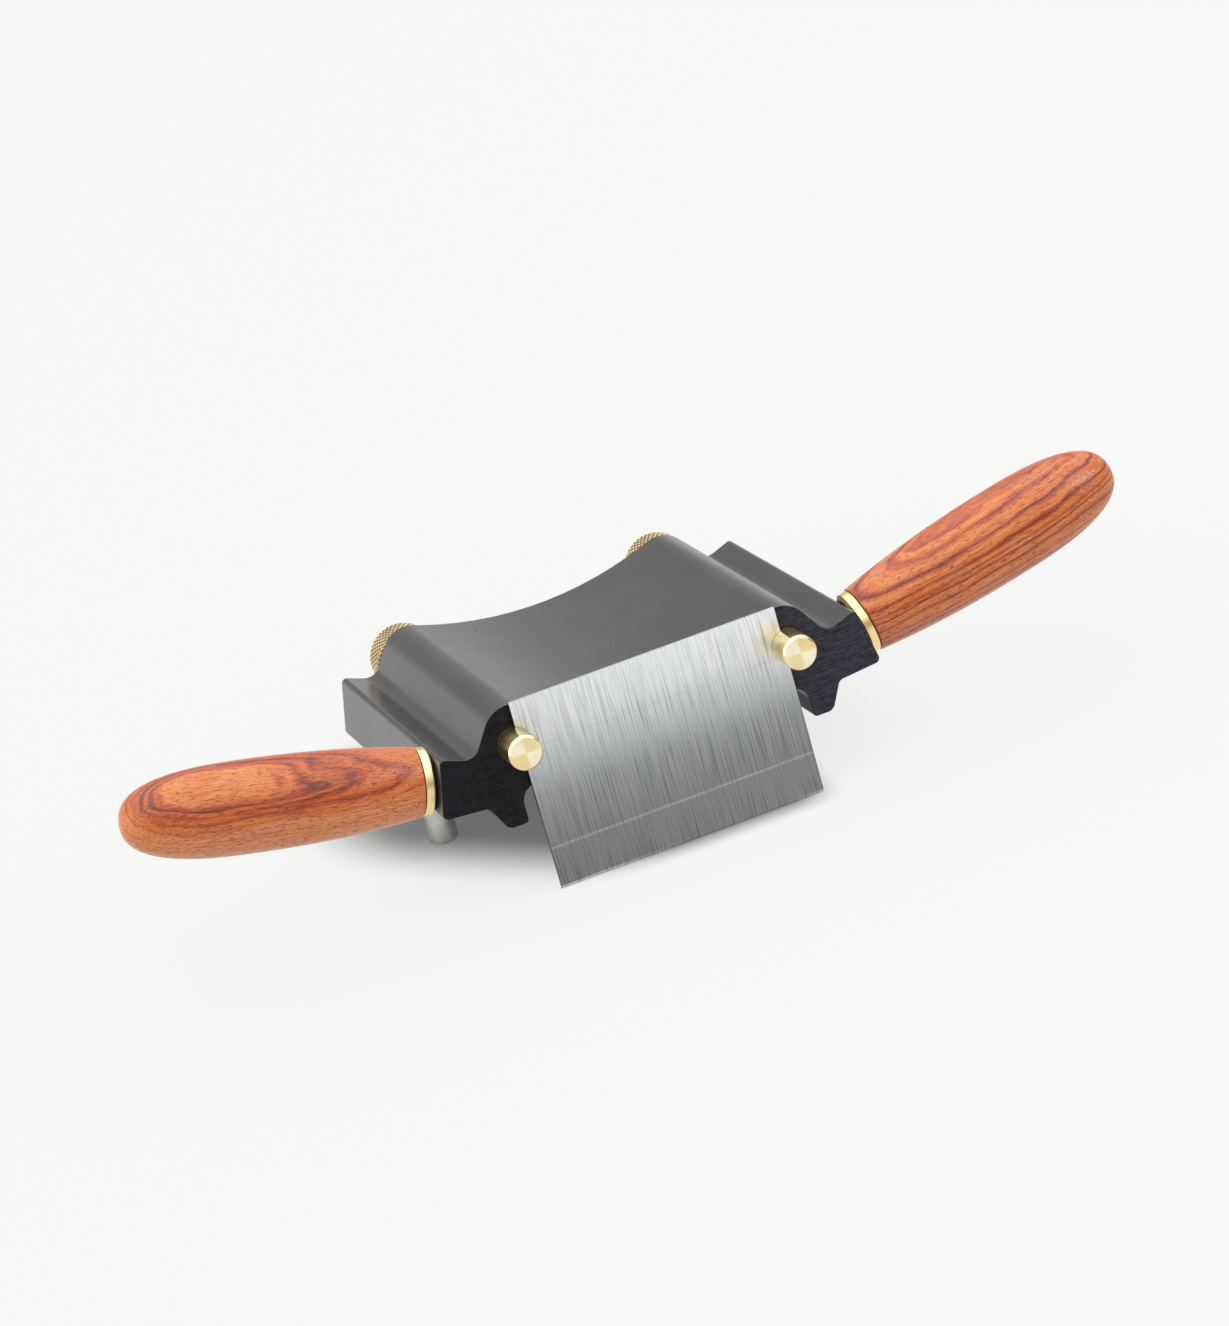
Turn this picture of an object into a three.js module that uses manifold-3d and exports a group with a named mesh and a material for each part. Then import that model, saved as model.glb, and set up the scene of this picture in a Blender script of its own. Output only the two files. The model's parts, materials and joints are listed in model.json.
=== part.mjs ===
// A two-handled scraper plane, in millimetres with +Z up.
//
// An extruded aluminium body carries a steel scraper blade on its square front face. Two slotted
// brass pins hook over the blade's side edges, and knurled nuts behind the body pull them tight.
// A turned handle is screwed to each wing of the body, and a short post stands under the left one.
//
// The tool is drawn in its own frame: X runs along the blade, Y from the blade back through the
// body and Z up the blade, with zero at the middle of the blade's top edge on the front face.
// The finished group is then tipped to stand as it does on a bench, on the blade's cutting edge,
// the post and the rear ends of the body's feet, with its box centred over the origin.

import * as THREE from 'three';
import { mergeVertices } from 'three/addons/utils/BufferGeometryUtils.js';
import Module from 'manifold-3d';

// ---------------------------------------------------------------- driving dimensions

const TOUCH = 0.3; // gap left where two pieces bear on each other
const SLIDE = 0.1; // radial clearance of a pin that slides in its bore
const THREAD_GAP = 0.3; // radial clearance that stands in for a screw thread
const FACETS = 32; // sides of a round piece
const SIDES = { left: -1, right: 1 };

// Body: the right half of its section, from the saddle round to the channel under it.
// Each corner is [x, z, corner radius], and the left half is its mirror image.
const BODY_LENGTH = 136;
const SADDLE = [0, -17.8, 139];
const HUMP = [56.1, 1.5, 10.8];
const TROUGH = [67.5, -15.8, 5.5];
const WING_TOP = [79.7, -11.4, 1.8];
const WING_BOTTOM = [84.4, -33, 2];
const WING_ROOT = [67.6, -34.5, 2.5];
const FOOT_OUTER = [62.6, -44.2, 3.4];
const FOOT_INNER = [54.9, -44.2, 1.6];
const CHANNEL = [54.9, -31.5, 6];
const RIGHT_CORNERS = [
  HUMP, TROUGH, WING_TOP, WING_BOTTOM, WING_ROOT, FOOT_OUTER, FOOT_INNER, CHANNEL,
];

// Blade
const BLADE_WIDTH = 101.6;
const BLADE_HEIGHT = 71.5;
const BLADE_THICKNESS = 1.6;
const BLADE_SEAT = 0.2; // gap between the blade and what holds it, on each face
const CUTTING_BEVEL = 1.6; // height of the 45 degree bevel

// Clamps, one on each side edge of the blade
const CLAMP_X = 52.25;
const CLAMP_Z = -15.2;
const PIN_RADIUS = 6.35;
const PIN_FRONT = -14.4; // how far the pin's head stands in front of the body
const PIN_BACK = 20;
const PIN_CHAMFER = 0.8;
const CLAMP_TRAVEL = 2; // forward travel that frees the blade
const CLAMP_STUD_RADIUS = 3;
const CLAMP_STUD_START = 8;
const STUD_CHAMFER = 0.5;
const WASHER_RADIUS = 9;
const WASHER_THICKNESS = 1.6;
const NUT_RADIUS = 12.7;
const NUT_THICKNESS = 13;
const NUT_CHAMFER = 0.9;
const STUD_PROUD = 2; // how far the stud's end stands out of the nut

// Handles, turned about an axis square to the wing's outer face
const HANDLE_Y = 16; // distance of the handle's axis behind the front face
const HANDLE_LENGTH = 110.9;
const HANDLE_FATTEST = 64.6; // distance of the thickest place from the wing
const HANDLE_RADIUS = 16.5;
const HANDLE_NECK_RADIUS = 12.6;
const HANDLE_SWELL = 2.2; // exponent of the swell from neck to thickest place
const HANDLE_END_ROUND = 2.6; // exponent of the superellipse that closes the end
const TENON_RADIUS = 8.9;
const TENON_START = 0.9;
const FERRULE_RADIUS = 12.2;
const FERRULE_LENGTH = 3.9;
const FERRULE_SHOULDER = [10.9, 0.9]; // radius at the wing, and length of the slope
const HANDLE_STUD_RADIUS = 3;
const HANDLE_STUD_SPAN = [-13.5, 19]; // from inside the wing to inside the handle
const INSERT_RADIUS = 5;
const INSERT_SPAN = [5, 21];

// Post under the left wing
const POST_X = -74.1;
const POST_Y = 61.5; // where the post's foot stands behind the front face
const POST_RADIUS = 5.5;
const POST_CHAMFER = 0.6;
const POST_STUD_RADIUS = 2.5;
const POST_STUD_START = 10; // height of the stud's lower end above the bench
const POST_STUD_GRIP = 10; // length of the stud inside the wing
const POST_BLANK = 60; // length of the post before its top is mitred to the wing

const MATERIALS = {
  black_anodised: { color: 0x2b292c, roughness: 0.42, metalness: 0.7 },
  blade_steel: { color: 0xb9bcbd, roughness: 0.35, metalness: 1 },
  brass: { color: 0xc9a24e, roughness: 0.25, metalness: 1 },
  plated_steel: { color: 0x9c9a96, roughness: 0.4, metalness: 1 },
  handle_wood: { color: 0xb4592b, roughness: 0.4, metalness: 0 },
};

// ---------------------------------------------------------------- derived places

const WING_TILT = Math.atan2(WING_BOTTOM[0] - WING_TOP[0], WING_TOP[1] - WING_BOTTOM[1]);
const UNDERSIDE_TILT = Math.atan2(WING_BOTTOM[1] - WING_ROOT[1], WING_BOTTOM[0] - WING_ROOT[0]);
const WING_MIDDLE = [(WING_TOP[0] + WING_BOTTOM[0]) / 2, (WING_TOP[1] + WING_BOTTOM[1]) / 2];
const BLADE_BACK = -BLADE_SEAT;
const BLADE_FRONT = BLADE_BACK - BLADE_THICKNESS;
const REST_PITCH = Math.atan2(BLADE_HEIGHT + FOOT_OUTER[1], BODY_LENGTH - BLADE_BACK);
const NUT_START = BODY_LENGTH + TOUCH + WASHER_THICKNESS + TOUCH;
const NUT_END = NUT_START + NUT_THICKNESS;

function benchHeightAt(y) {
  return -BLADE_HEIGHT + (y - BLADE_BACK) * Math.tan(REST_PITCH);
}

function undersideHeightAt(x) {
  return WING_BOTTOM[1] - (WING_BOTTOM[0] - Math.abs(x)) * Math.tan(UNDERSIDE_TILT);
}

// ---------------------------------------------------------------- solids

const wasm = await Module();
wasm.setup();

function solidOf(geometry) {
  const bare = geometry.clone();
  bare.deleteAttribute('normal');
  bare.deleteAttribute('uv');
  const merged = mergeVertices(bare, 1e-4);
  const corners = merged.index.array;
  const triangles = [];
  for (let i = 0; i < corners.length; i += 3) {
    const [a, b, c] = [corners[i], corners[i + 1], corners[i + 2]];
    if (a !== b && b !== c && c !== a) triangles.push(a, b, c);
  }
  return new wasm.Manifold(new wasm.Mesh({
    numProp: 3,
    vertProperties: merged.attributes.position.array,
    triVerts: Uint32Array.from(triangles),
  }));
}

function geometryOf(solid) {
  const mesh = solid.getMesh();
  const geometry = new THREE.BufferGeometry();
  geometry.setAttribute('position', new THREE.BufferAttribute(mesh.vertProperties, mesh.numProp));
  geometry.setIndex(new THREE.BufferAttribute(mesh.triVerts, 1));
  return geometry;
}

function cut(geometry, cutters) {
  let solid = solidOf(geometry);
  for (const cutter of cutters) solid = solid.subtract(solidOf(cutter));
  return geometryOf(solid);
}

// Turns an outline of [radius, distance along +Z] points about the Z axis.
function turned(outline) {
  const points = outline.map(([radius, along]) => new THREE.Vector2(radius, along));
  return new THREE.LatheGeometry(points, FACETS).rotateX(Math.PI / 2);
}

function rod(radius, start, end, chamfer = 0) {
  const outline = [[0, start], [radius - chamfer, start]];
  if (chamfer) outline.push([radius, start + chamfer], [radius, end - chamfer]);
  outline.push([radius - chamfer, end], [0, end]);
  return turned(outline);
}

function ring(inner, outer, start, end, chamfer = 0) {
  const outline = [[inner, start], [outer - chamfer, start]];
  if (chamfer) outline.push([outer, start + chamfer], [outer, end - chamfer]);
  outline.push([outer - chamfer, end], [inner, end], [inner, start]);
  return turned(outline);
}

function placed(geometry, place) {
  place.updateMatrix();
  return geometry.clone().applyMatrix4(place.matrix);
}

// ---------------------------------------------------------------- places of the repeated pieces

// Z runs back along the clamp, and the slot for the blade faces the blade.
function clampPlace(side) {
  const place = new THREE.Group();
  place.position.set(side * CLAMP_X, 0, CLAMP_Z);
  place.rotation.set(-Math.PI / 2, 0, side < 0 ? Math.PI : 0);
  return place;
}

// Z runs out along the handle, from the wing's outer face.
function handlePlace(side) {
  const place = new THREE.Group();
  place.position.set(side * WING_MIDDLE[0], HANDLE_Y, WING_MIDDLE[1]);
  place.rotation.y = side * (Math.PI / 2 - WING_TILT);
  return place;
}

// Z runs straight up from the bench.
function postPlace() {
  const place = new THREE.Group();
  place.position.set(POST_X, POST_Y, benchHeightAt(POST_Y));
  place.rotation.x = REST_PITCH;
  return place;
}

// Length of the post's axis, from the bench to the wing.
const POST_HEIGHT = (undersideHeightAt(POST_X) - benchHeightAt(POST_Y)) / Math.cos(REST_PITCH);

// ---------------------------------------------------------------- body

// Replaces each corner of a closed outline by an arc of that corner's own radius.
function filletedOutline(corners) {
  const arcStep = THREE.MathUtils.degToRad(11);
  const points = [];
  corners.forEach(([x, z, radius], i) => {
    const corner = new THREE.Vector2(x, z);
    const before = corners[(i + corners.length - 1) % corners.length];
    const after = corners[(i + 1) % corners.length];
    const back = new THREE.Vector2(before[0], before[1]).sub(corner).normalize();
    const on = new THREE.Vector2(after[0], after[1]).sub(corner).normalize();
    const halfAngle = Math.acos(THREE.MathUtils.clamp(back.dot(on), -1, 1)) / 2;
    const turn = Math.PI - 2 * halfAngle;
    const bisector = back.clone().add(on).normalize();
    const centre = corner.clone().addScaledVector(bisector, radius / Math.sin(halfAngle));
    const first = corner.clone().addScaledVector(back, radius / Math.tan(halfAngle)).sub(centre);
    const sense = Math.sign(on.cross(back));
    const steps = Math.max(3, Math.ceil(turn / arcStep), Math.ceil((radius * turn) / 8));
    for (let step = 0; step <= steps; step += 1) {
      const spoke = first.clone().rotateAround(new THREE.Vector2(), (sense * turn * step) / steps);
      points.push(centre.clone().add(spoke));
    }
  });
  return points;
}

function bodyGeometry() {
  const leftCorners = RIGHT_CORNERS.map(([x, z, radius]) => [-x, z, radius]).reverse();
  const outline = filletedOutline([SADDLE, ...RIGHT_CORNERS, ...leftCorners]);
  const section = new THREE.Shape(outline);
  const blank = new THREE.ExtrudeGeometry(section, { depth: BODY_LENGTH, bevelEnabled: false });
  blank.rotateX(Math.PI / 2).translate(0, BODY_LENGTH, 0);
  const overrun = 5;
  const bores = Object.values(SIDES).flatMap((side) => [
    placed(rod(PIN_RADIUS + SLIDE, -overrun, PIN_BACK + TOUCH), clampPlace(side)),
    placed(rod(CLAMP_STUD_RADIUS + THREAD_GAP, 0, BODY_LENGTH + overrun), clampPlace(side)),
    placed(
      rod(HANDLE_STUD_RADIUS + THREAD_GAP, HANDLE_STUD_SPAN[0] - TOUCH, overrun),
      handlePlace(side),
    ),
  ]);
  const postBoreEnd = POST_HEIGHT + POST_STUD_GRIP + TOUCH;
  const postBore = rod(POST_STUD_RADIUS + THREAD_GAP, POST_HEIGHT - overrun, postBoreEnd);
  return cut(blank, [...bores, placed(postBore, postPlace())]);
}

// ---------------------------------------------------------------- blade and clamps

function bladeGeometry() {
  const section = new THREE.Shape([
    new THREE.Vector2(BLADE_FRONT, 0),
    new THREE.Vector2(BLADE_FRONT, -BLADE_HEIGHT + CUTTING_BEVEL),
    new THREE.Vector2(BLADE_BACK, -BLADE_HEIGHT),
    new THREE.Vector2(BLADE_BACK, 0),
  ]);
  const geometry = new THREE.ExtrudeGeometry(section, { depth: BLADE_WIDTH, bevelEnabled: false });
  return geometry
    .applyMatrix4(new THREE.Matrix4().makeBasis(
      new THREE.Vector3(0, 1, 0),
      new THREE.Vector3(0, 0, 1),
      new THREE.Vector3(1, 0, 0),
    ))
    .translate(-BLADE_WIDTH / 2, 0, 0);
}

// A round pin with a slot in its side that hooks over the blade's edge. The slot is longer than
// the blade is thick, so that the pin can come forward and let go.
function clampPinGeometry() {
  const blank = turned([
    [0, PIN_FRONT],
    [PIN_RADIUS - PIN_CHAMFER, PIN_FRONT],
    [PIN_RADIUS, PIN_FRONT + PIN_CHAMFER],
    [PIN_RADIUS, PIN_BACK],
    [0, PIN_BACK],
  ]);
  const slotFront = BLADE_FRONT - BLADE_SEAT;
  const slotBack = CLAMP_TRAVEL + BLADE_SEAT;
  const flat = BLADE_WIDTH / 2 + BLADE_SEAT - CLAMP_X;
  const slotWidth = 2 * PIN_RADIUS;
  const slot = new THREE.BoxGeometry(slotWidth, slotWidth, slotBack - slotFront);
  slot.translate(flat - slotWidth / 2, 0, (slotFront + slotBack) / 2);
  const socketRadius = CLAMP_STUD_RADIUS + THREAD_GAP;
  const socket = rod(socketRadius, CLAMP_STUD_START - TOUCH, PIN_BACK + 1);
  return cut(blank, [slot, socket]);
}

function nutGeometry() {
  return ring(
    CLAMP_STUD_RADIUS + THREAD_GAP,
    NUT_RADIUS,
    NUT_START,
    NUT_END,
    NUT_CHAMFER,
  );
}

function washerGeometry() {
  const start = BODY_LENGTH + TOUCH;
  return ring(CLAMP_STUD_RADIUS + THREAD_GAP, WASHER_RADIUS, start, start + WASHER_THICKNESS);
}

// ---------------------------------------------------------------- handles

function handleRadiusAt(along) {
  if (along < HANDLE_FATTEST) {
    const neck = FERRULE_LENGTH + 2 * TOUCH;
    const towardsNeck = (HANDLE_FATTEST - along) / (HANDLE_FATTEST - neck);
    return HANDLE_RADIUS - (HANDLE_RADIUS - HANDLE_NECK_RADIUS) * towardsNeck ** HANDLE_SWELL;
  }
  const towardsTip = (along - HANDLE_FATTEST) / (HANDLE_LENGTH - HANDLE_FATTEST);
  return HANDLE_RADIUS * (1 - towardsTip ** HANDLE_END_ROUND) ** (1 / HANDLE_END_ROUND);
}

function handleGeometry() {
  const neck = FERRULE_LENGTH + 2 * TOUCH;
  const socketRadius = INSERT_RADIUS + THREAD_GAP;
  const socketEnd = INSERT_SPAN[1] + TOUCH;
  const outline = [
    [0, socketEnd],
    [socketRadius, socketEnd],
    [socketRadius, TENON_START],
    [TENON_RADIUS, TENON_START],
    [TENON_RADIUS, neck],
  ];
  const swellSteps = 9;
  for (let step = 0; step < swellSteps; step += 1) {
    const along = neck + ((HANDLE_FATTEST - neck) * step) / swellSteps;
    outline.push([handleRadiusAt(along), along]);
  }
  const endSteps = 14;
  for (let step = 0; step < endSteps; step += 1) {
    const along = HANDLE_FATTEST
      + (HANDLE_LENGTH - HANDLE_FATTEST) * Math.sin((Math.PI * step) / (2 * endSteps));
    outline.push([handleRadiusAt(along), along]);
  }
  outline.push([0, HANDLE_LENGTH]);
  return turned(outline);
}

function ferruleGeometry() {
  const bore = TENON_RADIUS + TOUCH;
  const [shoulderRadius, shoulderLength] = FERRULE_SHOULDER;
  const rimChamfer = 0.3;
  return turned([
    [bore, TOUCH],
    [shoulderRadius, TOUCH],
    [FERRULE_RADIUS, TOUCH + shoulderLength],
    [FERRULE_RADIUS, FERRULE_LENGTH + TOUCH - rimChamfer],
    [FERRULE_RADIUS - rimChamfer, FERRULE_LENGTH + TOUCH],
    [bore, FERRULE_LENGTH + TOUCH],
    [bore, TOUCH],
  ]);
}

// ---------------------------------------------------------------- post

// The post stands square to the bench, and its top is mitred to the wing's sloping underside.
function postGeometry() {
  const post = turned([
    [0, 0],
    [POST_RADIUS - POST_CHAMFER, 0],
    [POST_RADIUS, POST_CHAMFER],
    [POST_RADIUS, POST_BLANK],
    [0, POST_BLANK],
  ]);
  const socketRadius = POST_STUD_RADIUS + THREAD_GAP;
  const socket = rod(socketRadius, POST_STUD_START - TOUCH, POST_BLANK + 1);
  const mitre = new THREE.Group();
  mitre.position.set(POST_X, POST_Y, undersideHeightAt(POST_X));
  mitre.rotation.y = UNDERSIDE_TILT;
  const aboveWing = new THREE.BoxGeometry(POST_BLANK, 2 * POST_BLANK, 2 * POST_BLANK);
  aboveWing.translate(0, 0, POST_BLANK - TOUCH);
  const place = postPlace();
  return cut(placed(post, place), [placed(socket, place), placed(aboveWing, mitre)]);
}

// ---------------------------------------------------------------- assembly

const materials = Object.fromEntries(Object.entries(MATERIALS).map(([name, look]) => (
  [name, new THREE.MeshStandardMaterial({ name, ...look })]
)));

function piece(name, geometry, material) {
  const mesh = new THREE.Mesh(geometry, materials[material]);
  mesh.name = name;
  return mesh;
}

function clampPieces(name, side) {
  const clamp = clampPlace(side);
  const studEnd = NUT_END + STUD_PROUD;
  clamp.add(
    piece(`${name}_clamp_pin`, clampPinGeometry(), 'brass'),
    piece(
      `${name}_clamp_stud`,
      rod(CLAMP_STUD_RADIUS, CLAMP_STUD_START, studEnd, STUD_CHAMFER),
      'plated_steel',
    ),
    piece(`${name}_thrust_washer`, washerGeometry(), 'brass'),
    piece(`${name}_knurled_nut`, nutGeometry(), 'brass'),
  );
  return clamp;
}

function handlePieces(name, side) {
  const handle = handlePlace(side);
  const insertBore = HANDLE_STUD_RADIUS + THREAD_GAP;
  handle.add(
    piece(`${name}_handle`, handleGeometry(), 'handle_wood'),
    piece(`${name}_ferrule`, ferruleGeometry(), 'brass'),
    piece(`${name}_handle_stud`, rod(HANDLE_STUD_RADIUS, ...HANDLE_STUD_SPAN), 'plated_steel'),
    piece(`${name}_threaded_insert`, ring(insertBore, INSERT_RADIUS, ...INSERT_SPAN), 'brass'),
  );
  return handle;
}

function postStud() {
  const place = postPlace();
  const studEnd = POST_HEIGHT + POST_STUD_GRIP;
  const stud = rod(POST_STUD_RADIUS, POST_STUD_START, studEnd, STUD_CHAMFER);
  place.add(piece('left_post_stud', stud, 'plated_steel'));
  return place;
}

const tool = new THREE.Group();
tool.add(
  piece('body', bodyGeometry(), 'black_anodised'),
  piece('scraper_blade', bladeGeometry(), 'blade_steel'),
  piece('left_support_post', postGeometry(), 'plated_steel'),
  postStud(),
);
for (const [name, side] of Object.entries(SIDES)) {
  tool.add(clampPieces(name, side), handlePieces(name, side));
}
tool.rotation.x = -REST_PITCH;

const standing = new THREE.Group();
standing.add(tool);
standing.updateMatrixWorld(true);
const box = new THREE.Box3().setFromObject(standing, true);
tool.position.set(0, -(box.min.y + box.max.y) / 2, -box.min.z);

export default standing;
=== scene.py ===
"""A two-handled scraper plane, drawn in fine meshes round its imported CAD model.

Lengths are millimetres in the tool's own frame: X runs along the blade, Y from the blade back
through the body and Z up the blade, with zero at the middle of the blade's top edge on the body's
front face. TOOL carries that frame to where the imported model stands.
"""

import json
import math
import bpy
import bmesh
from mathutils import Matrix, Vector


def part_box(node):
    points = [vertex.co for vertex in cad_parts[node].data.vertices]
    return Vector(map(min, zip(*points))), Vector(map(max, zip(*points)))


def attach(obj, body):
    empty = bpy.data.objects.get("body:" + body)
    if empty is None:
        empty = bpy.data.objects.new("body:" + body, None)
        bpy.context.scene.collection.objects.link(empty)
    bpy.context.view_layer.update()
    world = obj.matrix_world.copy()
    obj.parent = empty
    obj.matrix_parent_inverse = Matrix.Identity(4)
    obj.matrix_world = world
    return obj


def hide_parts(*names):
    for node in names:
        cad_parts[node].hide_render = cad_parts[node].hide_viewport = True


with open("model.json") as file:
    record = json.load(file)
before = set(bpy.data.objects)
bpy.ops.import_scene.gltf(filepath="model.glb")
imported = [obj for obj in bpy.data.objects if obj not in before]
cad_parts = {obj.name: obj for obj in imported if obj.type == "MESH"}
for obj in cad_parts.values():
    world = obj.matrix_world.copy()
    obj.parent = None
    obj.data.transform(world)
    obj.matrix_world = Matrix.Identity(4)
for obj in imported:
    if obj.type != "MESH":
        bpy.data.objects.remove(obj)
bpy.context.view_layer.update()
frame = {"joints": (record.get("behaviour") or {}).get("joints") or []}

# ---------------------------------------------------------------- sizes

MM = 0.001
SIDES = {"left": -1, "right": 1}
TOUCH = 0.3  # gap left where two pieces bear on each other

BODY_LENGTH = 136
BODY_RIM = 0.35  # rounding of the two square-cut ends
SADDLE = (0, -17.8, 139)  # x, z and corner radius
RIGHT_CORNERS = [  # x, z and corner radius, from the right hump round to the channel
    (56.1, 1.5, 10.8),
    (67.5, -15.8, 5.5),
    (79.7, -11.4, 1.8),
    (84.4, -33, 2),
    (67.6, -34.5, 2.5),
    (62.6, -44.2, 3.4),
    (54.9, -44.2, 1.6),
    (54.9, -31.5, 6),
]
WING_TOP = RIGHT_CORNERS[2]
WING_BOTTOM = RIGHT_CORNERS[3]
WING_ROOT = RIGHT_CORNERS[4]

BLADE_WIDTH = 101.6
BLADE_HEIGHT = 71.5
BLADE_BACK = -0.2
BLADE_FRONT = -1.8
CUTTING_BEVEL = 1.6
HONED_HEIGHT = 15.4  # height of the lapped strip along the cutting edge
HONED_LINE = 0.9  # width of the ledge at the top of that strip
HONED_DEPTH = 0.05

CLAMP_X = 52.25
CLAMP_Z = -15.2
PIN_RADIUS = 6.35
PIN_FRONT = -14.4
PIN_BACK = 20
PIN_CHAMFER = 0.8
PIN_BORE = 6.45
SLOT_FRONT = -2.0
SLOT_BACK = 2.2
SLOT_SIDE_GAP = 0.2  # between the bottom of the slot and the blade's side edge
STUD_RADIUS = 3
STUD_PITCH = 1.0
STUD_BORE = 3.3
STUD_START = 8
STUD_PROUD = 2  # how far the stud's end stands out of the nut
WASHER_RADIUS = 9
WASHER_THICKNESS = 1.6
NUT_RADIUS = 12.7
NUT_THICKNESS = 13
NUT_CHAMFER = 0.9
NUT_FRONT_CHAMFER = 0.3
NUT_BORE_CHAMFER = 0.6
NUT_DISH = (2.2, 2.6)  # from the nut's rim in to the top and foot of its dished face
NUT_DISH_DEPTH = 0.35
NUT_COUNTERSINK = (1.0, 0.75)  # width and depth, round the bore in the dished face
KNURL_PITCH = 1.8
KNURL_LEAN = 0.5  # sideways run of a groove for its run along the nut
KNURL_DEPTH = 0.45
KNURL_SHARPNESS = 2.6  # exponent of a groove's walls
KNURL_STEPS = 6  # mesh steps across one tooth

WASHER_START = BODY_LENGTH + TOUCH
WASHER_END = WASHER_START + WASHER_THICKNESS
NUT_START = WASHER_END + TOUCH
NUT_END = NUT_START + NUT_THICKNESS
STUD_END = NUT_END + STUD_PROUD

HANDLE_Y = 16
HANDLE_LENGTH = 110.9
HANDLE_FATTEST = 64.6  # distance of the thickest place from the wing
HANDLE_RADIUS = 16.5
HANDLE_NECK = 4.5
HANDLE_NECK_RADIUS = 12.6
HANDLE_NECK_EASE = 0.45  # rounding of the shoulder behind the ferrule
HANDLE_SWELL = 2.2  # exponent of the swell from neck to thickest place
HANDLE_END_ROUND = 2.6  # exponent of the superellipse that closes the end
TENON_RADIUS = 8.9
TENON_START = 0.9
TENON_CHAMFER = 0.5
SOCKET_RADIUS = 5.3
SOCKET_END = 21.3
FERRULE_RADIUS = 12.2
FERRULE_SHOULDER = (1.3, 0.9)  # drop in radius, and length, of the slope at the wing
FERRULE_END = 4.2
HANDLE_STUD_SPAN = (-13.5, 19)
INSERT_RADIUS = 5
INSERT_PITCH = 2.0
INSERT_SPAN = (5, 21)

POST_X = -74.1
POST_Y = 61.5
POST_RADIUS = 5.5
POST_CHAMFER = 0.6
POST_RIM = 0.25  # chamfer round the mitred top
POST_SOCKET = 2.8
POST_STUD_RADIUS = 2.5
POST_STUD_PITCH = 0.8
POST_STUD_START = 10  # height of the stud's lower end above the bench
POST_STUD_GRIP = 10  # length of the stud inside the wing

THREAD_DEPTH = 0.6  # share of the pitch
THREAD_STEPS = 6  # mesh steps along one pitch
THREAD_FACETS = 30

WING_TILT = math.atan2(WING_BOTTOM[0] - WING_TOP[0], WING_TOP[1] - WING_BOTTOM[1])
UNDERSIDE_SLOPE = (WING_BOTTOM[1] - WING_ROOT[1]) / (WING_BOTTOM[0] - WING_ROOT[0])
WING_MIDDLE = ((WING_TOP[0] + WING_BOTTOM[0]) / 2, (WING_TOP[1] + WING_BOTTOM[1]) / 2)

# ---------------------------------------------------------------- places

JOINTS = {joint["name"]: joint for joint in frame["joints"]}
UP = Vector(JOINTS["blade_slide"]["axis"])
RIGHT = Vector((1, 0, 0))
BACK = UP.cross(RIGHT)
REST_PITCH = math.atan2(-BACK.z, BACK.y)


def tool_place():
    """The tool's frame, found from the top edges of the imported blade."""
    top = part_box("scraper_blade")[1]
    origin = Vector((0, top.y, top.z))
    origin.y -= BLADE_BACK * MM * BACK.y
    origin.z -= BLADE_FRONT * MM * BACK.z
    axes = Matrix((RIGHT, BACK, UP)).transposed().to_4x4()
    return Matrix.Translation(origin) @ axes


TOOL = tool_place()


def shifted(x, y, z):
    return TOOL @ Matrix.Translation(Vector((x, y, z)) * MM)


def clamp_place(side):
    """Z runs back along the clamp, and X away from the blade on the right, as on the left."""
    turn = Matrix.Rotation(-math.pi / 2, 4, "X")
    if side < 0:
        turn = turn @ Matrix.Rotation(math.pi, 4, "Z")
    return shifted(side * CLAMP_X, 0, CLAMP_Z) @ turn


def handle_place(side):
    """Z runs out along the handle from the wing's outer face."""
    turn = Matrix.Rotation(side * (math.pi / 2 - WING_TILT), 4, "Y")
    return shifted(side * WING_MIDDLE[0], HANDLE_Y, WING_MIDDLE[1]) @ turn


def bench_height_at(y):
    return -BLADE_HEIGHT + (y - BLADE_BACK) * math.tan(REST_PITCH)


def post_place():
    """Z runs straight up from the bench."""
    turn = Matrix.Rotation(REST_PITCH, 4, "X")
    return shifted(POST_X, POST_Y, bench_height_at(POST_Y)) @ turn


# ---------------------------------------------------------------- mesh tools


def rounded(corners, arc_step=4, closed=True):
    """The outline through (a, b, radius) corners, with each corner turned into an arc."""
    points = []
    count = len(corners)
    for i, (a, b, radius) in enumerate(corners):
        corner = Vector((a, b))
        if radius == 0 or (not closed and i in (0, count - 1)):
            points.append(corner)
            continue
        before = (Vector(corners[i - 1][:2]) - corner).normalized()
        after = (Vector(corners[(i + 1) % count][:2]) - corner).normalized()
        half = before.angle(after) / 2
        turn = math.pi - 2 * half
        centre = corner + (before + after).normalized() * radius / math.sin(half)
        spoke = corner + before * radius / math.tan(half) - centre
        sense = math.copysign(1, before.x * after.y - before.y * after.x)
        steps = max(3, math.ceil(math.degrees(turn) / arc_step))
        for step in range(steps + 1):
            angle = -sense * turn * step / steps
            points.append(centre + Matrix.Rotation(angle, 2) @ spoke)
    return points


def piece(name, points, faces, place, materials):
    """A mesh object from points in millimetres, drawn where it stands, with its origin at zero."""
    mesh = bpy.data.meshes.new(name)
    mesh.from_pydata([place @ (Vector(point) * MM) for point in points], [], faces)
    bm = bmesh.new()
    bm.from_mesh(mesh)
    bmesh.ops.remove_doubles(bm, verts=bm.verts, dist=1e-6)
    bmesh.ops.recalc_face_normals(bm, faces=bm.faces)
    bm.to_mesh(mesh)
    bm.free()
    for material in materials:
        mesh.materials.append(material)
    thing = bpy.data.objects.new(name, mesh)
    bpy.context.scene.collection.objects.link(thing)
    smooth(thing)
    return thing


def smooth(thing):
    """Smooth shading, with edges sharper than 35 degrees kept sharp."""
    mesh = thing.data
    mesh.polygons.foreach_set("use_smooth", [True] * len(mesh.polygons))
    mesh.set_sharp_from_angle(angle=math.radians(35))


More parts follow.
